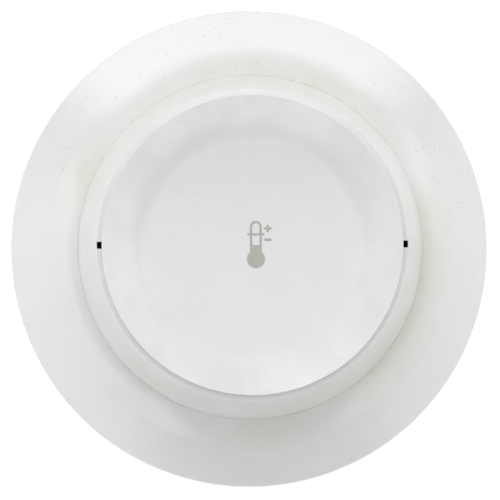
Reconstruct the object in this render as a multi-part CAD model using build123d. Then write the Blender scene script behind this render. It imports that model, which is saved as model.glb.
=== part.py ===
from build123d import *

import os
from math import cos, radians, sin, sqrt, tan

# Ceiling heat detector: a round sensing head that twist-locks onto a base with a wide trim skirt.
# Row frame: origin at the centre of the base's back face, +Z out of the ceiling towards the face plate.
# All sizes are in millimetres. Angles are in degrees, anticlockwise seen from the face, from +X.

# ---------------------------------------------------------------- driving dimensions
SKIRT_R = 77.5  # outer radius of the trim skirt
FACE_Z = 40.0  # highest point, the rim of the face plate
FACE_R = 46.85  # radius of the face plate
SHOULDER_R = 48.45  # radius of the head at its shoulder
FOOT_R = 55.3  # radius of the head's foot, a lip over the skirt's collar
WALL = 2.1  # moulded wall of the head, measured level
PLAY = 0.15  # gap between parts that slide or turn past each other
PRESS_TRAVEL = 0.5  # how far the face plate presses in
UNLOCK_ANGLE = 20.0  # how far the head turns to come off its base

# ---------------------------------------------------------------- trim skirt
SKIRT_EDGE_Z = 2.1
SKIRT_SLOPE = 20.5
SKIRT_BEND_R = 65.0  # the flare is a straight cone outside this radius and steepens inside it
SKIRT_TOP = (55.85, 12.2)
SKIRT_WALL = 1.9
COLLAR_IN_R = 55.0
COLLAR_OUT_R = 58.2
SKIRT_RIBS = 12
HOOK_ANGLES = (45, 135, 225, 315)
HOOK_WIDTH = 8.0
HOOK_IN_R = 56.6
HOOK_NIB_R = 59.3

# ---------------------------------------------------------------- mounting base
FLOOR_Z = (2.0, 4.5)
BASE_R = 62.0
BASE_RIM = 1.8
CABLE_HOLE_R = 14.0
NEAR_SLOTS = {"spacing": 60.0, "length": 16.0}
FAR_SLOTS = {"spacing": 84.0, "length": 14.0}
SLOT_WIDTH = 4.5
RING_R = (50.5, 52.5)
RING_TOP = 13.2
TAB_IN_R = 47.6
TAB_Z = (11.2, 13.2)
LUG_R = 50.1
LUG_Z = (8.8, 10.9)
LUG_HALF_ANGLE = 8.5
LOCK_ANGLES = (90, 210, 330)
STOP_PLAY = 0.5  # degrees between a lug and the stop that it turns against
STOP_ARC = 3.0

# ---------------------------------------------------------------- terminals
TERMINAL_R = 36.0
TERMINAL_ANGLES = (45, 135, 225, 315)
PAD_Z = 6.0
STRIP = 0.5  # thickness of the sprung contact strips
WASHER = 0.8
CONTACT_OFFSET = 13.0  # from a terminal screw round to the contact point
BLADE_Z = 8.9
CONTACT_Z = 9.6

# ---------------------------------------------------------------- head
REAR_Z = (11.0, 13.0)
REAR_R = 47.0
REAR_FLANGE = (52.0, 13.8, 15.8)
HOUSING_BOTTOM = 7.5
SPIGOT_R = COLLAR_IN_R - PLAY  # the head's cylinder inside the collar
SPIGOT_WALL = 1.9
FOOT_Z = SKIRT_TOP[1] + PLAY
SHOULDER_Z = 38.1
RIM_Z = 38.75  # inner edge of the rim that shows round the plate; it slopes down to the shoulder
RIM_IN_R = 46.2
SHELF_Z = 36.0
SHELF_IN_R = 42.5
DECK_Z = (29.3, 31.3)
WELL_WALL = 1.8
BOARD_R = 47.5
BOARD_Z = (17.0, 18.6)
SCREW_R = 40.0
SCREW_ANGLES = (20, 110, 200, 290)
POST_R = 30.0
POST_ANGLES = (45, 135, 225, 315)
CUP_FLOOR = (24.0, 25.2)
SENSOR_Y = 40.4
BEAD_Z = 34.3
SOUNDER_Y = 24.0
PIEZO_R = 12.7
PIEZO_Z = (20.35, 20.6, 20.9)  # ceramic's back, brass disc's back, disc's front
BATTERY_Y = -24.0
BATTERY_R = 7.25
BATTERY_Z = REAR_Z[1] + 0.3 + BATTERY_R
BATTERY_HALF = 12.5
WINDOW_WIDTH = 2.2
WINDOW_Z = 37.4
GUIDE_IN_R = 46.0
GUIDE_OUT_R = 47.3
GUIDE_TOP_Z = 37.9
CUP_R = (3.8, 5.0)  # spring cups in the deck
POST_HOLE_R = 1.75
SCREW_BOSS_R = 3.2
SCREW_CORE = (1.55, 27.0)  # radius and depth of the thread cores, up from the board
SENSOR_TUBE = (1.8, 2.6, 33.2)
BUTTON_HOLE_R = 3.3
SOUND_HOLE_R = 5.0

# ---------------------------------------------------------------- face plate
BAND_IN = (38.0, 38.5)  # inner edge of the rim band
DISH_R = 34.2
DISH_EDGE_Z = 37.3
DISH_SAG = 2.4
PLATE_WALL = 1.9
PLATE_EDGE_Z = RIM_Z + PRESS_TRAVEL + PLAY
PLATE_LIP_R = RIM_IN_R - 0.5  # the plate is thick inside this radius and a thin lip over the rim outside it
PLATE_LIP_Z = 38.0
PIN_R = 1.5
BOSS_BOTTOM_Z = 29.0
CLIP_Z = (23.15, 23.95)

# ---------------------------------------------------------------- thermometer symbol
SYMBOL_X = 1.1  # the tube stands a little right of the plate's centre
INLAY_DEPTH = 0.3
TUBE_R = 1.88
TUBE_TOP_Y = 7.5
TUBE_LINE = 0.78
LIQUID_TOP_Y = 0.0
BULB_R = 2.87
BULB_Y = -4.4
TICK_Y = 3.3
TICK_HALF = 2.65
SIGN_X = 3.7  # plus and minus signs, from the tube's axis
PLUS_Y = 5.1
MINUS_Y = 1.6
SIGN_SPAN = 2.35
SIGN_LINE = 0.82


def polar(radius, angle, z=0.0):
    return Location((radius * cos(radians(angle)), radius * sin(radians(angle)), z), (0, 0, angle))


def turned(points, rounds=()):
    """Solid of revolution about Z through (radius, height) points; rounds are (corner, fillet radius)."""
    outline = make_face(Polyline(*points, close=True))
    return revolved(outline, rounds)


def revolved(outline, rounds=()):
    for corner, radius in rounds:
        vertex = outline.vertices().sort_by_distance((*corner, 0))[0]
        outline = fillet(vertex, radius)
    return revolve(Plane.XZ * outline, Axis.Z)


def rod(radius, low, high, x=0.0, y=0.0):
    return Pos(x, y, low) * extrude(Circle(radius), high - low)


def tube(inner, outer, low, high):
    return Pos(0, 0, low) * extrude(Circle(outer) - Circle(inner), high - low)


def block(x, y, z):
    """Box from a (low, high) pair on each axis."""
    middle = [(pair[0] + pair[1]) / 2 for pair in (x, y, z)]
    return Pos(*middle) * Box(x[1] - x[0], y[1] - y[0], z[1] - z[0])


def sector(inner, outer, low, high, start, end):
    """Piece of a ring from one angle to another, its ends cut along radii."""
    ring = tube(inner, outer, low, high)
    reach = 3 * outer
    corners = [(0, 0)]
    steps = max(1, round((end - start) / 30))
    for step in range(steps + 1):
        angle = radians(start + (end - start) * step / steps)
        corners.append((reach * cos(angle), reach * sin(angle)))
    wedge = Pos(0, 0, low - 1) * extrude(make_face(Polyline(*corners, close=True)), high - low + 2)
    return ring & wedge


def slot_hole(x, y, length, width, low, high, along_y=False):
    shape = Rot(0, 0, 90 if along_y else 0) * SlotOverall(length, width)
    return Pos(x, y, low) * extrude(shape, high - low)


def wall_radius(z):
    """Outer radius of the head's conical wall at height z."""
    return FOOT_R - (FOOT_R - SHOULDER_R) * (z - FOOT_Z) / (SHOULDER_Z - FOOT_Z)


# ---------------------------------------------------------------- base assembly
def make_trim_skirt():
    """Wide flared ring over the mounting base, with an inner collar, ribs behind it and four snap hooks."""
    rise = tan(radians(SKIRT_SLOPE))
    slope = Vector(-cos(radians(SKIRT_SLOPE)), sin(radians(SKIRT_SLOPE)))
    drop = SKIRT_WALL / cos(radians(SKIRT_SLOPE))
    edge = Vector(SKIRT_R, SKIRT_EDGE_Z)
    bend = Vector(SKIRT_BEND_R, SKIRT_EDGE_Z + (SKIRT_R - SKIRT_BEND_R) * rise)
    top = Vector(*SKIRT_TOP)
    under_top = top - Vector(0, 1.3 * drop)
    under_bend = bend - Vector(0, drop)
    inner_r = SKIRT_R - SKIRT_WALL
    under_edge = Vector(inner_r, under_bend.Y - (inner_r - SKIRT_BEND_R) * rise)
    shell = make_face(
        [
            Line((inner_r, 0), (SKIRT_R, 0)),
            Line((SKIRT_R, 0), edge),
            Line(edge, bend),
            TangentArc(bend, top, tangent=slope),
            Line(top, under_top),
            TangentArc(under_bend, under_top, tangent=slope),
            Line(under_bend, under_edge),
            Line(under_edge, (inner_r, 0)),
        ]
    )
    skirt = revolved(shell, [((SKIRT_R, SKIRT_EDGE_Z), 0.7)])
    low = FLOOR_Z[1]
    collar = [(COLLAR_IN_R, low), (COLLAR_OUT_R, low), (COLLAR_OUT_R, top.Y - 2.4)]
    collar += [(top.X + 0.05, top.Y - 1.6), (top.X + 0.05, top.Y - 0.02)]
    collar += [(top.X, top.Y), (COLLAR_IN_R, top.Y)]
    skirt += turned(collar)
    rib_in = BASE_R + 0.6
    rib = [(rib_in, 0.8), (inner_r + 0.3, 0.8), (inner_r + 0.3, under_edge.Y + 0.2)]
    rib += [(SKIRT_BEND_R, under_bend.Y + 0.3), (rib_in, under_bend.Y + (SKIRT_BEND_R - rib_in) * rise + 0.3)]
    web = extrude(Plane.XZ * make_face(Polyline(*rib, close=True)), 0.6, both=True)
    for step in range(SKIRT_RIBS):
        skirt += Rot(0, 0, 360 * (step + 0.5) / SKIRT_RIBS) * web
    half = HOOK_WIDTH / 2
    leg = block((HOOK_IN_R, COLLAR_OUT_R), (-half, half), (0.8, low + 1))
    nib = block((COLLAR_OUT_R - 0.5, HOOK_NIB_R), (-half, half), (0.8, 1.85))
    for angle in HOOK_ANGLES:
        skirt += Rot(0, 0, angle) * (leg + nib)
    return skirt


def make_mounting_base():
    """Moulded plate with screw slots, cable hole, bayonet ring and terminal pads."""
    low, high = FLOOR_Z
    base = tube(CABLE_HOLE_R, BASE_R, low, high) + tube(BASE_R - BASE_RIM, BASE_R, 0, low)
    base += tube(CABLE_HOLE_R, CABLE_HOLE_R + BASE_RIM, 0, high + 1.2)
    for step in range(8):
        rib = block((CABLE_HOLE_R + 1, BASE_R - 1), (-0.7, 0.7), (0.4, low))
        base += Rot(0, 0, 22.5 + 45 * step) * rib
    base += tube(*RING_R, high, RING_TOP)
    root_r = RING_R[0] + 0.2
    for angle in LOCK_ANGLES:
        locked_end = angle - LUG_HALF_ANGLE - STOP_PLAY
        free_end = angle + UNLOCK_ANGLE + LUG_HALF_ANGLE + STOP_PLAY
        tab_end = angle + UNLOCK_ANGLE - LUG_HALF_ANGLE - 1.5
        base += sector(TAB_IN_R, root_r, *TAB_Z, locked_end - STOP_ARC, tab_end)
        base += sector(TAB_IN_R, root_r, high, TAB_Z[1], locked_end - STOP_ARC, locked_end)
        base += sector(TAB_IN_R, root_r, high, TAB_Z[0], free_end, free_end + STOP_ARC)
    for angle in TERMINAL_ANGLES:
        pad = fillet(Rectangle(10, 12).vertices(), 1.5)
        base += polar(TERMINAL_R, angle, high) * extrude(pad, PAD_Z - high)
        base -= polar(TERMINAL_R, angle, low) * rod(1.55, -1, PAD_Z)
    for side in (-1, 1):
        near, far = side * NEAR_SLOTS["spacing"] / 2, side * FAR_SLOTS["spacing"] / 2
        base -= slot_hole(near, 0, NEAR_SLOTS["length"], SLOT_WIDTH, low - 1, high + 1)
        base -= slot_hole(0, far, FAR_SLOTS["length"], SLOT_WIDTH, low - 1, high + 1, along_y=True)
    half = HOOK_WIDTH / 2 + 0.3
    hook_hole = block((HOOK_IN_R - 0.3, BASE_R - BASE_RIM), (-half, half), (low - 1, high + 1))
    for angle in HOOK_ANGLES:
        base -= Rot(0, 0, angle) * hook_hole
    return base


def at_terminals(piece):
    """The same piece at each terminal: local X is radial and local Y runs anticlockwise."""
    return [polar(TERMINAL_R, angle) * piece for angle in TERMINAL_ANGLES]


def make_contact_springs():
    """Sprung strips: flat under the screw, then a raised blade that the head's contact lands on."""
    line = [(-5, PAD_Z), (4.5, PAD_Z), (CONTACT_OFFSET - 1.5, BLADE_Z), (CONTACT_OFFSET + 1.5, BLADE_Z)]
    line.append((CONTACT_OFFSET + 4, BLADE_Z - 1.6))
    upper = [(y, z + STRIP) for y, z in reversed(line)]
    strip = extrude(Plane.YZ * make_face(Polyline(*line, *upper, close=True)), 2.5, both=True)
    return at_terminals(strip - rod(1.6, PAD_Z - 1, PAD_Z + 1))


def make_clamp_washers():
    low = PAD_Z + STRIP
    washer = Pos(0, 0, low) * extrude(fillet(Rectangle(6.4, 6.4).vertices(), 0.8), WASHER)
    return at_terminals(washer - rod(1.6, low - 1, low + 2))


def make_terminal_screws():
    seat = PAD_Z + STRIP + WASHER
    head = rod(2.7, seat, seat + 1.7)
    screw = rod(1.5, FLOOR_Z[0] + 0.4, seat) + fillet(head.edges().sort_by(Axis.Z)[-1], 0.6)
    screw -= block((-3, 3), (-0.4, 0.4), (seat + 0.9, seat + 2))
    screw -= block((-0.4, 0.4), (-3, 3), (seat + 0.9, seat + 2))
    return at_terminals(screw)


# ---------------------------------------------------------------- head assembly
def housing_outline():
    """Outer and inner faces of the head's shell as (radius, height) points."""
    under_shelf = SHELF_Z - 2.0
    well_r = SHELF_IN_R + WELL_WALL
    return [
        (SPIGOT_R - SPIGOT_WALL, HOUSING_BOTTOM),
        (SPIGOT_R, HOUSING_BOTTOM),
        (SPIGOT_R, FOOT_Z),
        (FOOT_R, FOOT_Z),
        (SHOULDER_R, SHOULDER_Z),
        (RIM_IN_R, RIM_Z),
        (RIM_IN_R, SHELF_Z),
        (SHELF_IN_R, SHELF_Z),
        (SHELF_IN_R, DECK_Z[1]),
        (0, DECK_Z[1]),
        (0, DECK_Z[0]),
        (well_r, DECK_Z[0]),
        (well_r, under_shelf),
        (wall_radius(under_shelf) - WALL, under_shelf),
        (FOOT_R - WALL, FOOT_Z),
    ]


def window_cut():
    """Slot up through the shelf that opens into a notch across the rim."""
    half = WINDOW_WIDTH / 2
    slot = block((GUIDE_IN_R - 0.1, GUIDE_OUT_R + 0.1), (-half, half), (SHELF_Z - 3, FACE_Z))
    return slot + block((GUIDE_IN_R - 0.1, FOOT_R), (-half, half), (WINDOW_Z, FACE_Z))


def make_outer_housing():
    """Conical shell with a shoulder, a shelf under the face plate and a sunk deck that carries its guides."""
    rounds = [((SHOULDER_R, SHOULDER_Z), 0.25), ((FOOT_R, FOOT_Z), 0.12)]
    housing = turned(housing_outline(), rounds)
    ledge_z = REAR_FLANGE[2]
    housing += tube(49.8, wall_radius(ledge_z) - WALL / 2, ledge_z, ledge_z + 1.8)
    sensor_in_r, sensor_out_r, sensor_top = SENSOR_TUBE
    core_r, core_top = SCREW_CORE
    for angle in POST_ANGLES:
        housing += polar(POST_R, angle) * rod(CUP_R[1], CUP_FLOOR[0], DECK_Z[1])
    for angle in SCREW_ANGLES:
        housing += polar(SCREW_R, angle) * rod(SCREW_BOSS_R, BOARD_Z[1], DECK_Z[0] + 0.5)
    for side in (-1, 1):
        housing += rod(sensor_out_r, DECK_Z[0], sensor_top, 0, side * SENSOR_Y)
    for angle in POST_ANGLES:
        housing -= polar(POST_R, angle) * rod(CUP_R[0], CUP_FLOOR[1], FACE_Z)
        housing -= polar(POST_R, angle) * rod(POST_HOLE_R, 0, FACE_Z)
    for angle in SCREW_ANGLES:
        housing -= polar(SCREW_R, angle) * rod(core_r, 0, core_top)
    for side in (-1, 1):
        housing -= rod(sensor_in_r, 0, FACE_Z, 0, side * SENSOR_Y)
    housing -= rod(BUTTON_HOLE_R, 0, FACE_Z)
    housing -= rod(SOUND_HOLE_R, 0, FACE_Z, 0, SOUNDER_Y)
    for angle in (0, 180):
        housing -= Rot(0, 0, angle) * window_cut()
    return housing


def make_light_guide(angle):
    """Smoked bar from a lamp on the board up to its window, its end just below the rim's surface."""
    half = WINDOW_WIDTH / 2 - 0.1
    head = block((GUIDE_IN_R, SHOULDER_R - 0.1), (-half, half), (WINDOW_Z + 0.1, GUIDE_TOP_Z))
    stem = block((GUIDE_IN_R, GUIDE_OUT_R), (-half, half), (BOARD_Z[1] + 1.4, GUIDE_TOP_Z))
    return Rot(0, 0, angle) * (head + stem)


def make_indicator_leds():
    lamp = block((GUIDE_IN_R, GUIDE_OUT_R), (-0.8, 0.8), (BOARD_Z[1], BOARD_Z[1] + 1.2))
    return [Rot(0, 0, angle) * lamp for angle in (0, 180)]


def contact_slot(clearance=0.0):
    """Stem of a head contact, in a terminal's own frame."""
    return block(
        (-1.6 - clearance, 1.6 + clearance),
        (CONTACT_OFFSET - 0.3 - clearance, CONTACT_OFFSET + 0.3 + clearance),
        (CONTACT_Z, BOARD_Z[0]),
    )


def make_rear_cover():
    """Back of the head: floor with board bosses, battery bay and the three bayonet lugs."""
    flange_r, flange_low, flange_high = REAR_FLANGE
    low, high = REAR_Z
    outline = [
        (0, low),
        (REAR_R - 2, low),
        (REAR_R - 2, LUG_Z[0]),
        (REAR_R, LUG_Z[0]),
        (REAR_R, flange_low),
        (flange_r, flange_low),
        (flange_r, flange_high),
        (REAR_R - 2, flange_high),
        (REAR_R - 2, high),
        (0, high),
    ]
    cover = turned(outline)
    for angle in LOCK_ANGLES:
        cover += sector(REAR_R - 1, LUG_R, *LUG_Z, angle - LUG_HALF_ANGLE, angle + LUG_HALF_ANGLE)
    for angle in SCREW_ANGLES:
        cover += polar(SCREW_R, angle) * rod(3.5, high - 0.5, BOARD_Z[0])
        cover -= polar(SCREW_R, angle) * rod(1.65, 0, FACE_Z)
        cover -= polar(SCREW_R, angle) * rod(3.0, 0, low + 1.4)
    for hole in at_terminals(contact_slot(clearance=0.15)):
        cover -= hole
    cover -= battery_bay(0.0)
    cover += bay_walls()
    return cover


def battery_bay(clearance):
    """Opening in the rear floor below the cell."""
    x, y = BATTERY_HALF + 1.3 - clearance, BATTERY_R + 0.9 - clearance
    return block((-x, x), (BATTERY_Y - y, BATTERY_Y + y), (REAR_Z[0] - 1, REAR_Z[1] + 0.01))


def bay_walls():
    """Low walls on the rear floor that hold the cell and its contacts."""
    x, y = BATTERY_HALF + 1.3, BATTERY_R + 0.9
    outer = block((-x - 1.2, x + 1.2), (BATTERY_Y - y - 1.0, BATTERY_Y + y + 1.0), (REAR_Z[0], 16.6))
    return outer - block((-x, x), (BATTERY_Y - y, BATTERY_Y + y), (REAR_Z[0] - 1, 17))


def make_battery_door():
    low, high = REAR_Z
    door = battery_bay(0.15) & block((-50, 50), (-50, 50), (low, high))
    for step in range(3):
        door -= block((-5, 5), (BATTERY_Y - 3.6 + 3 * step, BATTERY_Y - 2.4 + 3 * step), (low - 1, low + 0.6))
    return door


def make_backup_battery():
    lying = Pos(0, BATTERY_Y, BATTERY_Z) * Rot(0, 90, 0)
    cell = lying * Cylinder(BATTERY_R, 2 * BATTERY_HALF - 0.8)
    cell = fillet(cell.edges().filter_by(GeomType.CIRCLE), 0.5)
    return cell + lying * Pos(0, 0, BATTERY_HALF - 0.4) * Cylinder(2.5, 0.8)


def make_battery_contacts():
    """Two plates against the ends of the bay, each with a dimple towards the cell."""
    face, back = BATTERY_HALF + 0.85, BATTERY_HALF + 1.3
    plate = block((face, back), (BATTERY_Y - 4, BATTERY_Y + 4), (REAR_Z[1] + 0.4, 26.0))
    dimple = Cylinder(1.5, 0.8, align=(Align.CENTER, Align.CENTER, Align.MAX))
    middle = Pos(face, BATTERY_Y, BATTERY_Z)
    plate += middle * Rot(0, 90, 0) * dimple
    return [plate, mirror(plate, Plane.YZ)]


def make_circuit_board():
    low, high = BOARD_Z
    board = rod(BOARD_R, low, high)
    bay = (BATTERY_HALF + 1.9, BATTERY_R + 1.5)
    board -= block((-bay[0], bay[0]), (BATTERY_Y - bay[1], BATTERY_Y + bay[1]), (low - 1, high + 1))
    for angle in SCREW_ANGLES:
        board -= polar(SCREW_R, angle) * rod(1.75, 0, FACE_Z)
    return board


def make_microcontroller():
    """Square chip with a row of gull-wing pins on each side."""
    top = BOARD_Z[1]
    chip = [block((-29, -21), (-4, 4), (top + 0.2, top + 1.6))]
    for side in range(4):
        for pin in range(7):
            along = -3 + pin
            leg = block((4.0, 5.0), (along - 0.2, along + 0.2), (top, top + 0.6))
            chip.append(Pos(-25, 0, 0) * Rot(0, 0, 90 * side) * leg)
    return chip


def make_power_capacitors():
    spots = ((29, -28), (36, -3), (-36, -24))
    cans = []
    for x, y in spots:
        can = rod(3.1, BOARD_Z[1], BOARD_Z[1] + 7.5, x, y)
        cans.append(fillet(can.edges().sort_by(Axis.Z)[-1], 0.5))
    return cans


def make_surface_parts():
    """Small board parts: resistors, diodes and a driver chip."""
    spots = [(18, 3, 6, 5), (26, 6, 3, 1.6), (26, 2, 3, 1.6), (26, -2, 3, 1.6), (19, -5, 4, 2.5)]
    spots += [(-20, 30, 3, 1.6), (-26, 27, 3, 1.6), (-36, 12, 2.5, 4), (-18, -10, 3, 1.6), (22, 33, 5, 4)]
    top = BOARD_Z[1]
    return [block((x - a / 2, x + a / 2), (y - b / 2, y + b / 2), (top, top + 1.3)) for x, y, a, b in spots]


def make_thermistor_beads():
    return [Pos(0, side * SENSOR_Y, BEAD_Z) * Sphere(1.1) for side in (-1, 1)]


def make_thermistor_leads():
    """Two wires to each bead, cut square where they meet its underside."""
    leads = []
    for side in (-1, 1):
        for x in (-0.7, 0.7):
            bead = Pos(0, side * SENSOR_Y, BEAD_Z) * Sphere(1.1)
            leads.append(rod(0.2, BOARD_Z[1], BEAD_Z - 0.3, x, side * SENSOR_Y) - bead)
    return leads


def make_sounder_cup():
    bottom, top, roof, ledge = BOARD_Z[1], 27.0, 25.8, PIEZO_Z[2]
    outline = [(14, bottom), (14, top), (2.5, top), (2.5, roof), (12, roof)]
    outline += [(12, ledge), (PIEZO_R + 0.1, ledge), (PIEZO_R + 0.1, bottom)]
    return Pos(0, SOUNDER_Y, 0) * turned(outline)


def make_piezo_disc():
    return rod(PIEZO_R, PIEZO_Z[1], PIEZO_Z[2], 0, SOUNDER_Y)


def make_piezo_ceramic():
    return rod(9.0, PIEZO_Z[0], PIEZO_Z[1], 0, SOUNDER_Y)


def make_test_switch():
    top = BOARD_Z[1]
    body = block((-5, 5), (-5, 5), (top, top + 5)) + rod(3.2, top + 5, 26.0)
    return body - rod(2.2, 21.4, 27.0)


def make_switch_plunger():
    return rod(2.0, 23.0, BOSS_BOTTOM_Z - 0.1)


def make_head_contacts():
    """Stem down from the board, with a foot turned back over the base's blade."""
    foot = block((-1.6, 1.6), (CONTACT_OFFSET - 2.6, CONTACT_OFFSET + 0.3), (CONTACT_Z, CONTACT_Z + 0.6))
    return at_terminals(contact_slot() + foot)


def make_housing_screws():
    seat = REAR_Z[0] + 1.4
    screw = rod(2.8, seat - 1.2, seat) + rod(1.5, seat, 26.5)
    screw -= block((-2, 2), (-0.35, 0.35), (0, seat - 0.7)) + block((-0.35, 0.35), (-2, 2), (0, seat - 0.7))
    return [polar(SCREW_R, angle) * screw for angle in SCREW_ANGLES]


def make_rating_label():
    label = fillet(Rectangle(44, 20).vertices(), 2.0)
    return Pos(0, 6, REAR_Z[0] - 0.15) * extrude(label, 0.15)


# ---------------------------------------------------------------- face plate assembly
def dish_height(radius):
    """Height of the dish's top face; the dish is part of a sphere."""
    sphere = (DISH_R**2 + DISH_SAG**2) / (2 * DISH_SAG)
    return DISH_EDGE_Z - DISH_SAG + sphere - sqrt(sphere**2 - radius**2)


def make_face_plate():
    """Dished disc that floats over the shelf, with four guide posts and a boss that works the test switch."""
    centre = (0, DISH_EDGE_Z - DISH_SAG)
    middle = (DISH_R / 2, dish_height(DISH_R / 2))
    dish_edge = (DISH_R, DISH_EDGE_Z)
    rim = (FACE_R, FACE_Z)

    def below(point):
        return (point[0], point[1] - PLATE_WALL)

    outline = make_face(
        [
            ThreePointArc(centre, middle, dish_edge),
            Line(dish_edge, BAND_IN),
            Line(BAND_IN, rim),
            Line(rim, (FACE_R, PLATE_EDGE_Z)),
            Line((FACE_R, PLATE_EDGE_Z), (PLATE_LIP_R, PLATE_EDGE_Z)),
            Line((PLATE_LIP_R, PLATE_EDGE_Z), (PLATE_LIP_R, PLATE_LIP_Z)),
            Line((PLATE_LIP_R, PLATE_LIP_Z), below(BAND_IN)),
            Line(below(BAND_IN), below(dish_edge)),
            ThreePointArc(below(dish_edge), below(middle), below(centre)),
            Line(below(centre), centre),
        ]
    )
    rounds = [(dish_edge, 16.0), (BAND_IN, 28.0), (rim, 0.3)]
    plate = revolved(outline, rounds)
    rib_r = (DISH_R + BAND_IN[0]) / 2
    plate += tube(rib_r - 0.6, rib_r + 0.6, 34.6, DISH_EDGE_Z - PLATE_WALL + 0.6)
    plate += rod(2.5, BOSS_BOTTOM_Z, centre[1] - 1)
    root = dish_height(POST_R) - PLATE_WALL + 0.6
    for angle in POST_ANGLES:
        groove = tube(1.1, 3, CLIP_Z[0] - 0.02, CLIP_Z[1] + 0.02)
        post = rod(PIN_R, CLIP_Z[0] - 0.6, root) - groove
        plate += polar(POST_R, angle) * post
    return plate - make_thermometer_symbol()


def symbol_outline():
    """Flat thermometer with a half-filled tube, a level tick, a plus sign and a minus sign."""
    length = TUBE_TOP_Y - BULB_Y
    outside = Pos(0, BULB_Y + length / 2) * Rectangle(2 * TUBE_R, length)
    outside = fillet(outside.vertices().group_by(Axis.Y)[-1], TUBE_R - 0.01)
    bore_r = TUBE_R - TUBE_LINE
    bore_top = TUBE_TOP_Y - TUBE_LINE
    bore = Pos(0, (bore_top + LIQUID_TOP_Y) / 2) * Rectangle(2 * bore_r, bore_top - LIQUID_TOP_Y)
    bore = fillet(bore.vertices().group_by(Axis.Y)[-1], bore_r - 0.01)
    symbol = outside - bore + Pos(0, BULB_Y) * Circle(BULB_R)
    symbol += Pos(0, TICK_Y) * Rectangle(2 * TICK_HALF, TUBE_LINE)
    symbol += Pos(SIGN_X, PLUS_Y) * (Rectangle(SIGN_SPAN, SIGN_LINE) + Rectangle(SIGN_LINE, SIGN_SPAN))
    return symbol + Pos(SIGN_X, MINUS_Y) * Rectangle(SIGN_SPAN, SIGN_LINE)


def make_thermometer_symbol():
    """Grey inlay flush with the dish, cut to the symbol's outline."""
    reach = 12.0
    top = (reach, dish_height(reach))
    middle = (reach / 2, dish_height(reach / 2))
    centre = (0, dish_height(0))
    skin = make_face(
        [
            ThreePointArc(centre, middle, top),
            Line(top, (reach, top[1] - INLAY_DEPTH)),
            ThreePointArc(
                (reach, top[1] - INLAY_DEPTH),
                (middle[0], middle[1] - INLAY_DEPTH),
                (0, centre[1] - INLAY_DEPTH),
            ),
            Line((0, centre[1] - INLAY_DEPTH), centre),
        ]
    )
    prism = extrude(Pos(SYMBOL_X, 0, DISH_EDGE_Z - 5) * symbol_outline(), 8)
    return prism & revolved(skin)


def make_plate_clips():
    """Open retaining washers in the post grooves, which stop the springs pushing the plate off."""
    clip = tube(1.13, 2.9, *CLIP_Z) - block((0, 4), (-0.8, 0.8), (CLIP_Z[0] - 1, CLIP_Z[1] + 1))
    return [polar(POST_R, angle) * clip for angle in POST_ANGLES]


def make_return_springs():
    """Compression coils round the guide posts, between the cup floors and the plate."""
    wire, mean_r, turns = 0.25, 2.75, 6
    low = CUP_FLOOR[1] + wire + 0.03
    high = dish_height(POST_R - mean_r) - PLATE_WALL - wire - 0.12
    path = Helix(pitch=(high - low) / turns, height=high - low, radius=mean_r)
    section = Plane(origin=path @ 0, z_dir=path % 0) * Circle(wire)
    coil = Pos(0, 0, low) * sweep(section, path=path, is_frenet=True)
    return [polar(POST_R, angle) * coil for angle in POST_ANGLES]


PIECES = {
    "trim_skirt": make_trim_skirt,
    "mounting_base": make_mounting_base,
    "contact_springs": make_contact_springs,
    "clamp_washers": make_clamp_washers,
    "terminal_screws": make_terminal_screws,
    "outer_housing": make_outer_housing,
    "rear_cover": make_rear_cover,
    "housing_screws": make_housing_screws,
    "battery_door": make_battery_door,
    "backup_battery": make_backup_battery,
    "battery_contacts": make_battery_contacts,
    "circuit_board": make_circuit_board,
    "microcontroller": make_microcontroller,
    "power_capacitors": make_power_capacitors,
    "surface_parts": make_surface_parts,
    "thermistor_beads": make_thermistor_beads,
    "thermistor_leads": make_thermistor_leads,
    "indicator_leds": make_indicator_leds,
    "sounder_cup": make_sounder_cup,
    "piezo_disc": make_piezo_disc,
    "piezo_ceramic": make_piezo_ceramic,
    "test_switch": make_test_switch,
    "switch_plunger": make_switch_plunger,
    "head_contacts": make_head_contacts,
    "rating_label": make_rating_label,
    "face_plate": make_face_plate,
    "thermometer_symbol": make_thermometer_symbol,
    "plate_clips": make_plate_clips,
    "return_springs": make_return_springs,
}


def main():
    os.makedirs("parts", exist_ok=True)
    shapes = {name: make() for name, make in PIECES.items()}
    shapes["right_light_guide"] = make_light_guide(0)
    shapes["left_light_guide"] = make_light_guide(180)
    for name, shape in shapes.items():
        if isinstance(shape, list):
            shape = Compound(children=[s for item in shape for s in item.solids()])
        export_step(shape, f"parts/{name}.step")


main()
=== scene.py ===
import math

import bpy
from mathutils import Matrix, Vector


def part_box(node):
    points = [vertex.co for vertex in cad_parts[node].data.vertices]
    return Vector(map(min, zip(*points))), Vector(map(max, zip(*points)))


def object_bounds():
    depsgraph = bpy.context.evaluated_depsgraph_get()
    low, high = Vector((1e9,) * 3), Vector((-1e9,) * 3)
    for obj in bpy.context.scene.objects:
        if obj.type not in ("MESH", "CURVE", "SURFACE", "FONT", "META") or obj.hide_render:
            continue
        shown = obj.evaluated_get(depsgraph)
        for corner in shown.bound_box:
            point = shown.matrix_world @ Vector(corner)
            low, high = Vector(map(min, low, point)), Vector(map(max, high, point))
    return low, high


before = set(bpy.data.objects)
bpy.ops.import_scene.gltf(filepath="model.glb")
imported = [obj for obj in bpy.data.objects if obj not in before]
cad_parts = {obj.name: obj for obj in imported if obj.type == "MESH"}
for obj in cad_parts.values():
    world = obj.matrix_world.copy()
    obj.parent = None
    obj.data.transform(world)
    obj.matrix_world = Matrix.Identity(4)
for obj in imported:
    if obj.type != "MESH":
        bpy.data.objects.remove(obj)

# A ceiling heat detector on its back, seen almost face on under soft studio light.
# Lengths are in metres. Heights and radii come from the frame's own boxes.
CAD_LOW, CAD_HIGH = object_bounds()
MM = 0.001
SKIRT_R = CAD_HIGH.x
FOOT_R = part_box("outer_housing")[1].x
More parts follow.
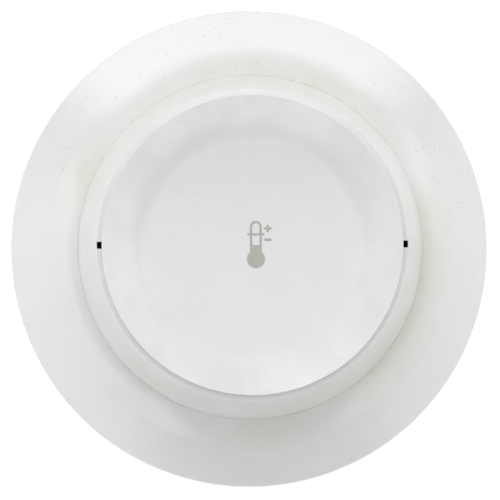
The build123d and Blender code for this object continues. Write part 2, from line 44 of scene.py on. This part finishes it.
PLATE_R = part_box("face_plate")[1].x

# ---------------------------------------------------------------- camera
CAMERA_DISTANCE = 0.80
CAMERA_LEAN = (-0.0265, -0.028)  # how far the camera stands to -X and -Y, per metre of distance
CAMERA_ROLL = math.radians(-0.3)
SKIRT_FILL = 0.951  # the skirt's diameter as a part of the picture's width
AIM = Vector((0.15 * MM, -0.63 * MM, 1.0 * MM))
SENSOR_WIDTH = 36.0  # in millimetres, as Blender wants it


def make_camera():
    data = bpy.data.cameras.new("camera")
    camera = bpy.data.objects.new("camera", data)
    bpy.context.scene.collection.objects.link(camera)
    offset = Vector((*CAMERA_LEAN, 1.0)).normalized() * CAMERA_DISTANCE
    back = offset.normalized()
    right = Vector((0, 1, 0)).cross(back).normalized()
    up = back.cross(right)
    turn = Matrix((right, up, back)).transposed()
    roll = Matrix.Rotation(CAMERA_ROLL, 4, "Z")
    camera.matrix_world = Matrix.Translation(AIM + offset) @ turn.to_4x4() @ roll
    data.sensor_width = SENSOR_WIDTH
    data.lens = SENSOR_WIDTH * CAMERA_DISTANCE * SKIRT_FILL / (2 * SKIRT_R)
    data.clip_start, data.clip_end = 0.01, 20.0
    bpy.context.scene.camera = camera


# ---------------------------------------------------------------- light and floor
# name, azimuth and elevation in degrees, distance, size, watts
SOFT_LIGHTS = (
    ("key", 90, 45, 1.3, (1.7, 0.5), 4.9),
    ("left_fill", 202, 35, 1.3, (2.2, 0.8), 10.4),
    ("right_fill", -12, 32, 1.3, (2.2, 0.8), 8.8),
    ("overhead", 90, 68, 1.6, (1.9, 1.6), 10.0),
)
# The studio is dimmer towards -Y. Each pair is a direction's Y and the strength there.
DIM_SIDE = (-0.9, 0.02)
BRIGHT_SIDE = (0.6, 0.36)
STUDIO_COLOUR = (1.0, 1.0, 0.99, 1)
FLOOR_HALF = 3.0
FLOOR_GAP = 0.1 * MM  # keeps the floor from sharing a plane with the part
FLOOR_GLOW = 0.28


def soft_light(name, azimuth, elevation, distance, size, watts):
    """Area light that looks at the object; azimuth is anticlockwise from +X."""
    data = bpy.data.lights.new(name, "AREA")
    data.shape = "RECTANGLE"
    data.size, data.size_y = size
    data.energy = watts
    light = bpy.data.objects.new(name, data)
    bpy.context.scene.collection.objects.link(light)
    a, e = math.radians(azimuth), math.radians(elevation)
    back = Vector((math.cos(a) * math.cos(e), math.sin(a) * math.cos(e), math.sin(e)))
    light.location = back * distance
    light.rotation_euler = back.to_track_quat("Z", "Y").to_euler()


def make_lights():
    for row in SOFT_LIGHTS:
        soft_light(*row)
    world = bpy.data.worlds.new("studio")
    bpy.context.scene.world = world
    world.use_nodes = True
    tree = world.node_tree
    direction = tree.nodes.new("ShaderNodeTexCoord").outputs["Generated"]
    parts = tree.nodes.new("ShaderNodeSeparateXYZ")
    tree.links.new(direction, parts.inputs[0])
    level = tree.nodes.new("ShaderNodeMapRange")
    level.interpolation_type = "SMOOTHSTEP"
    level.inputs["From Min"].default_value, level.inputs["To Min"].default_value = DIM_SIDE
    level.inputs["From Max"].default_value, level.inputs["To Max"].default_value = BRIGHT_SIDE
    tree.links.new(parts.outputs["Y"], level.inputs["Value"])
    tree.links.new(level.outputs["Result"], tree.nodes["Background"].inputs["Strength"])
    tree.nodes["Background"].inputs["Color"].default_value = STUDIO_COLOUR
    bpy.context.scene.view_settings.view_transform = "Standard"
    bpy.context.scene.view_settings.look = "None"


def make_floor():
    z = CAD_LOW.z - FLOOR_GAP
    corners = [(x * FLOOR_HALF, y * FLOOR_HALF, z) for x, y in ((-1, -1), (1, -1), (1, 1), (-1, 1))]
    mesh = bpy.data.meshes.new("floor")
    mesh.from_pydata(corners, [], [(0, 1, 2, 3)])
    floor = bpy.data.objects.new("floor", mesh)
    bpy.context.scene.collection.objects.link(floor)
    material, kit = new_material("pale_floor")
    kit.set("Base Color", (0.93, 0.93, 0.93, 1))
    kit.set("Roughness", 0.9)
    kit.set("Specular IOR Level", 0.2)
    kit.set("Emission Color", (1, 1, 1, 1))
    kit.set("Emission Strength", FLOOR_GLOW)
    kit.bump([(kit.noise(900, 3), 0.02 * MM)])
    floor.data.materials.append(material)


# ---------------------------------------------------------------- material kit
class Kit:
    """Builds one material's nodes. Coordinates are the object's own, in metres."""

    def __init__(self, tree, shader):
        self.tree = tree
        self.shader = shader
        self.place = self.add("ShaderNodeTexCoord").outputs["Object"]

    def add(self, kind, **values):
        node = self.tree.nodes.new(kind)
        for key, value in values.items():
            setattr(node, key, value)
        return node

    def link(self, source, target):
        self.tree.links.new(source, target)

    def set(self, socket, value):
        self.shader.inputs[socket].default_value = value

    def drive(self, socket, source):
        self.link(source, self.shader.inputs[socket])

    def stretched(self, scale, turn=(0, 0, 0)):
        mapping = self.add("ShaderNodeMapping")
        mapping.inputs["Scale"].default_value = scale
        mapping.inputs["Rotation"].default_value = turn
        self.link(self.place, mapping.inputs["Vector"])
        return mapping.outputs["Vector"]

    def noise(self, scale, detail=2.0, roughness=0.5, place=None):
        node = self.add("ShaderNodeTexNoise")
        node.inputs["Scale"].default_value = scale
        node.inputs["Detail"].default_value = detail
        node.inputs["Roughness"].default_value = roughness
        self.link(place or self.place, node.inputs["Vector"])
        return node.outputs["Fac"]

    def cells(self, scale, place=None):
        node = self.add("ShaderNodeTexVoronoi")
        node.inputs["Scale"].default_value = scale
        self.link(place or self.place, node.inputs["Vector"])
        return node.outputs["Distance"]

    def math(self, operation, a, b=None):
        node = self.add("ShaderNodeMath", operation=operation)
        for socket, value in zip(node.inputs, (a, b)):
            if isinstance(value, (int, float)):
                socket.default_value = value
            elif value is not None:
                self.link(value, socket)
        return node.outputs[0]

    def span(self, source, low, high, to_low=0.0, to_high=1.0):
        """Maps low..high on to to_low..to_high, smoothly and clamped."""
        node = self.add("ShaderNodeMapRange", interpolation_type="SMOOTHSTEP")
        for name, value in zip(("From Min", "From Max", "To Min", "To Max"), (low, high, to_low, to_high)):
            node.inputs[name].default_value = value
        self.link(source, node.inputs["Value"])
        return node.outputs["Result"]

    def blend(self, factor, first, second):
        """Colour mix; first and second are colours or sockets."""
        node = self.add("ShaderNodeMix", data_type="RGBA")
        self.link(factor, node.inputs["Factor"])
        for name, value in (("A", first), ("B", second)):
            socket = [s for s in node.inputs if s.name == name and s.type == "RGBA"][0]
            if isinstance(value, tuple):
                socket.default_value = (*value, 1)
            else:
                self.link(value, socket)
        return [s for s in node.outputs if s.type == "RGBA"][0]

    def bump(self, layers):
        """Adds up height layers, each a (source, depth in metres) pair."""
        normal = None
        for source, depth in layers:
            node = self.add("ShaderNodeBump")
            node.inputs["Distance"].default_value = depth
            self.link(source, node.inputs["Height"])
            if normal:
                self.link(normal, node.inputs["Normal"])
            normal = node.outputs["Normal"]
        self.drive("Normal", normal)

    def axis(self, name):
        """One coordinate of the object's own frame."""
        parts = self.add("ShaderNodeSeparateXYZ")
        self.link(self.place, parts.inputs[0])
        return parts.outputs[name]

    def radius(self):
        """Distance from the object's axis."""
        squares = [self.math("MULTIPLY", self.axis(name), self.axis(name)) for name in "XY"]
        return self.math("SQRT", self.math("ADD", *squares))


def new_material(name):
    material = bpy.data.materials.new(name)
    material.use_nodes = True
    tree = material.node_tree
    tree.nodes.clear()
    output = tree.nodes.new("ShaderNodeOutputMaterial")
    shader = tree.nodes.new("ShaderNodeBsdfPrincipled")
    tree.links.new(shader.outputs["BSDF"], output.inputs["Surface"])
    return material, Kit(tree, shader)


# ---------------------------------------------------------------- plastics
# The white plastics' roughness varies by this much and stays under 0.27: where it crossed about that value,
# hard-edged patches showed on the surface.
GLOSS_DRIFT = 0.06
DUST_SPAN = (-40 * MM, 50 * MM)  # the specks grow denser along Y between these


def glossy_white(name, clean, painted_tone, painted_tone_span, gloss, wave, specks=0.85, coat=0.3):
    """Moulded ABS: waviness, orange peel, faint scuffs, dust specks and a painted tone over a span of
    radius: painted shade towards the foot on trim and head, painted light on the plate's brim.
    """
    material, kit = new_material(name)
    # Painted light and shade: the colour moves towards a second tone across a span of radius.
    painted_tone_mask = kit.span(kit.radius(), *painted_tone_span)
    cloud = kit.span(kit.noise(28, 4, 0.6), 0.35, 0.75)
    colour = kit.blend(kit.math("MULTIPLY", painted_tone_mask, cloud), clean, painted_tone)
    faint = tuple(0.955 * c for c in clean)
    colour = kit.blend(kit.span(kit.noise(95, 5, 0.65), 0.45, 0.8, 0, 0.55), colour, faint)
    speck_field = kit.cells(520)
    rare = kit.span(kit.noise(210, 2), 0.53, 0.63)
    settled = kit.span(kit.axis("Y"), *DUST_SPAN, 0.2, 1.0)
    dots = kit.math("MULTIPLY", kit.span(speck_field, 0.06, 0.15, 1, 0), kit.math("MULTIPLY", rare, settled))
    colour = kit.blend(kit.math("MULTIPLY", dots, specks), colour, (0.33, 0.31, 0.28))
    scuff_place = kit.stretched((170, 360, 170), (0, 0, 0.6))
    scuffs = kit.span(kit.noise(1.0, 5, 0.7, scuff_place), 0.48, 0.78)
    colour = kit.blend(kit.math("MULTIPLY", scuffs, 0.16), colour, (0.62, 0.61, 0.58))
    kit.drive("Base Color", colour)
    kit.drive("Roughness", kit.span(kit.noise(45, 4, 0.6), 0.3, 0.75, gloss, gloss + GLOSS_DRIFT))
    kit.set("IOR", 1.5)
    kit.set("Coat Weight", coat)
    kit.set("Coat Roughness", 0.1)
    kit.set("Subsurface Weight", 0.04)
    kit.set("Subsurface Radius", (1.2 * MM, 1.1 * MM, 1.0 * MM))
    kit.set("Subsurface Scale", 1.0)
    peel = (kit.noise(900, 2), 0.010 * MM)
    swell = (kit.noise(55, 2, 0.4), wave)
    ripple = (kit.noise(170, 2, 0.5), wave * 0.22)
    kit.bump([swell, ripple, peel, (dots, 0.03 * MM)])
    return material


def textured_plastic(name, colour, shade, rough, grain=0.02 * MM):
    """Plastic with a spark-eroded texture and slight colour drift."""
    material, kit = new_material(name)
    drift = kit.span(kit.noise(60, 4, 0.6), 0.3, 0.75)
    grime = kit.span(kit.noise(240, 4, 0.7), 0.55, 0.8, 0, 0.5)
    kit.drive("Base Color", kit.blend(grime, kit.blend(drift, colour, shade), tuple(0.8 * c for c in shade)))
    kit.drive("Roughness", kit.span(kit.noise(120, 3), 0.3, 0.7, rough - 0.06, rough + 0.08))
    kit.set("IOR", 1.5)
    kit.bump([(kit.noise(2600, 3, 0.6), grain), (kit.noise(80, 2), 0.04 * MM)])
    return material


def smoked_plastic():
    """Almost black satin bar that hardly reflects: painted shade filling the windows, with fine dust on it.
    """
    material, kit = new_material("smoked_plastic")
    dust = kit.span(kit.noise(1500, 4, 0.7), 0.62, 0.8, 0, 0.35)
    # Painted shade: blacker than moulded plastic, with its reflection nearly cut, so the windows read as
    # dark slots.
    kit.drive("Base Color", kit.blend(dust, (0.001, 0.001, 0.001), (0.006, 0.006, 0.006)))
    kit.drive("Roughness", kit.span(kit.noise(600, 3), 0.3, 0.7, 0.45, 0.6))
    kit.set("Specular IOR Level", 0.02)
    kit.bump([(kit.noise(700, 2), 0.01 * MM)])
    return material


def printed_grey(name):
    """Warm grey symbol with a faintly mottled surface."""
    material, kit = new_material(name)
    mottle = kit.span(kit.noise(700, 4, 0.6), 0.3, 0.75)
    kit.drive("Base Color", kit.blend(mottle, (0.375, 0.375, 0.345), (0.42, 0.42, 0.39)))
    kit.drive("Roughness", kit.span(kit.noise(300, 3), 0.3, 0.7, 0.34, 0.46))
    kit.set("IOR", 1.5)
    kit.bump([(kit.noise(1800, 3), 0.006 * MM), (kit.noise(55, 2, 0.4), 0.03 * MM)])
    return material


# ---------------------------------------------------------------- metals and electronics
def bright_metal(name, colour, dark, rough, stretch=(200, 2600, 2600)):
    """Plated or drawn metal with fine grain along one direction and patches of tarnish."""
    material, kit = new_material(name)
    grain = kit.noise(1.0, 3, 0.6, kit.stretched(stretch))
    tarnish = kit.span(kit.noise(260, 5, 0.65), 0.45, 0.8)
    kit.drive("Base Color", kit.blend(tarnish, colour, dark))
    kit.drive("Roughness", kit.span(grain, 0.3, 0.7, rough - 0.08, rough + 0.1))
    kit.set("Metallic", 1.0)
    kit.bump([(grain, 0.006 * MM)])
    return material


def circuit_laminate():
    """Green solder mask with the shadow of copper runs and a fine weave."""
    material, kit = new_material("green_laminate")
    runs = kit.cells(150, kit.stretched((1.0, 2.2, 1.0), (0, 0, 0.785)))
    copper = kit.span(runs, 0.42, 0.46)
    weave = kit.noise(1.0, 2, 0.5, kit.stretched((2400, 900, 900)))
    base = kit.blend(copper, (0.012, 0.085, 0.030), (0.022, 0.150, 0.055))
    kit.drive("Base Color", kit.blend(kit.span(weave, 0.4, 0.7, 0, 0.3), base, (0.03, 0.12, 0.05)))
    kit.drive("Roughness", kit.span(weave, 0.3, 0.7, 0.24, 0.36))
    kit.bump([(copper, 0.03 * MM), (weave, 0.008 * MM)])
    return material


def sleeve(name, colour, band_axis, band_span, band_colour):
    """Shrink sleeve with a plain band of a second colour across one axis."""
    material, kit = new_material(name)
    band = kit.span(kit.axis(band_axis), band_span[0], band_span[1])
    scuff = kit.span(kit.noise(420, 4, 0.7), 0.6, 0.8, 0, 0.5)
    base = kit.blend(band, colour, band_colour)
    kit.drive("Base Color", kit.blend(scuff, base, tuple(0.5 * c + 0.1 for c in colour)))
    kit.drive("Roughness", kit.span(kit.noise(160, 3), 0.3, 0.7, 0.26, 0.4))
    kit.bump([(kit.noise(150, 3), 0.05 * MM), (kit.noise(1400, 2), 0.006 * MM)])
    return material


def label_paper():
    material, kit = new_material("label_paper")
    fibre = kit.noise(2200, 5, 0.7)
    kit.drive("Base Color", kit.blend(kit.span(fibre, 0.35, 0.7), (0.80, 0.80, 0.78), (0.73, 0.73, 0.70)))
    kit.set("Roughness", 0.62)
    kit.bump([(fibre, 0.01 * MM)])
    return material


def make_materials():
    white = (0.722, 0.730, 0.726)
    # Painted shade: an olive, darker tone that deepens towards the foot, where the head's wall meets the
    # skirt.
    foot_shade_olive = (0.668, 0.672, 0.605)
    foot_shade_span = (FOOT_R + 13 * MM, FOOT_R + 2 * MM)
    trim = glossy_white("white_trim_plastic", white, foot_shade_olive, foot_shade_span, 0.19, 0.11 * MM)
    head = glossy_white("white_head_plastic", white, foot_shade_olive, (PLATE_R, FOOT_R), 0.18, 0.05 * MM, coat=0.0)
    # Painted shade and light: the plate is darker in its recessed dish and lighter on its brim.
    dish_shade = (0.678, 0.691, 0.688)
    brim_light = (0.78, 0.787, 0.783)
    outer_half = (0.5 * PLATE_R, PLATE_R)
    plate = glossy_white("white_plate_plastic", dish_shade, brim_light, outer_half, 0.19, 0.05 * MM, specks=0.6)
    base = textured_plastic("white_base_plastic", (0.70, 0.70, 0.68), (0.66, 0.66, 0.63), 0.5)
    black = textured_plastic("black_plastic", (0.02, 0.02, 0.021), (0.03, 0.03, 0.03), 0.45)
    chip = textured_plastic("black_epoxy", (0.018, 0.018, 0.02), (0.03, 0.03, 0.031), 0.42, 0.008 * MM)
    steel = bright_metal("plated_steel", (0.62, 0.62, 0.63), (0.42, 0.42, 0.43), 0.3)
    spring = bright_metal("spring_steel", (0.50, 0.50, 0.52), (0.33, 0.33, 0.35), 0.26)
    bronze = bright_metal("phosphor_bronze", (0.72, 0.50, 0.30), (0.45, 0.30, 0.18), 0.28)
    brass = bright_metal("piezo_brass", (0.78, 0.60, 0.28), (0.50, 0.37, 0.18), 0.26)
    ceramic = textured_plastic("piezo_ceramic", (0.68, 0.67, 0.64), (0.60, 0.59, 0.56), 0.35, 0.008 * MM)
    lamp = textured_plastic("lamp_resin", (0.60, 0.10, 0.06), (0.52, 0.08, 0.05), 0.2, 0.004 * MM)
    bead = textured_plastic("thermistor_epoxy", (0.012, 0.012, 0.012), (0.03, 0.03, 0.03), 0.22, 0.006 * MM)
    window_shade = smoked_plastic()
    battery_low, battery_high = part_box("backup_battery")
    copper_end = battery_low.x + 0.72 * (battery_high.x - battery_low.x)
    copper_span = (copper_end, copper_end + 0.3 * MM)
    battery = sleeve("battery_sleeve", (0.35, 0.36, 0.38), "X", copper_span, (0.55, 0.30, 0.10))
    can_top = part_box("power_capacitors")[1].z - 0.7 * MM
    can_span = (can_top, can_top + 0.1 * MM)
    capacitor = sleeve("capacitor_sleeve", (0.02, 0.025, 0.05), "Z", can_span, (0.6, 0.6, 0.61))
    return {
        "trim_skirt": trim,
        "outer_housing": head,
        "face_plate": plate,
        "thermometer_symbol": printed_grey("grey_symbol_plastic"),
        "mounting_base": base,
        "rear_cover": base,
        "battery_door": base,
        "contact_springs": bronze,
        "head_contacts": bronze,
        "clamp_washers": steel,
        "terminal_screws": steel,
        "housing_screws": steel,
        "battery_contacts": steel,
        "thermistor_leads": steel,
        "plate_clips": spring,
        "return_springs": spring,
        "backup_battery": battery,
        "circuit_board": circuit_laminate(),
        "microcontroller": chip,
        "surface_parts": chip,
        "power_capacitors": capacitor,
        "thermistor_beads": bead,
        "indicator_leds": lamp,
        "sounder_cup": black,
        "test_switch": black,
        "switch_plunger": black,
        "piezo_disc": brass,
        "piezo_ceramic": ceramic,
        "rating_label": label_paper(),
        "right_light_guide": window_shade,
        "left_light_guide": window_shade,
    }


def paint(materials):
    for name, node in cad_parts.items():
        node.data.materials.clear()
        node.data.materials.append(materials[name])


make_camera()
make_lights()
make_floor()
paint(make_materials())
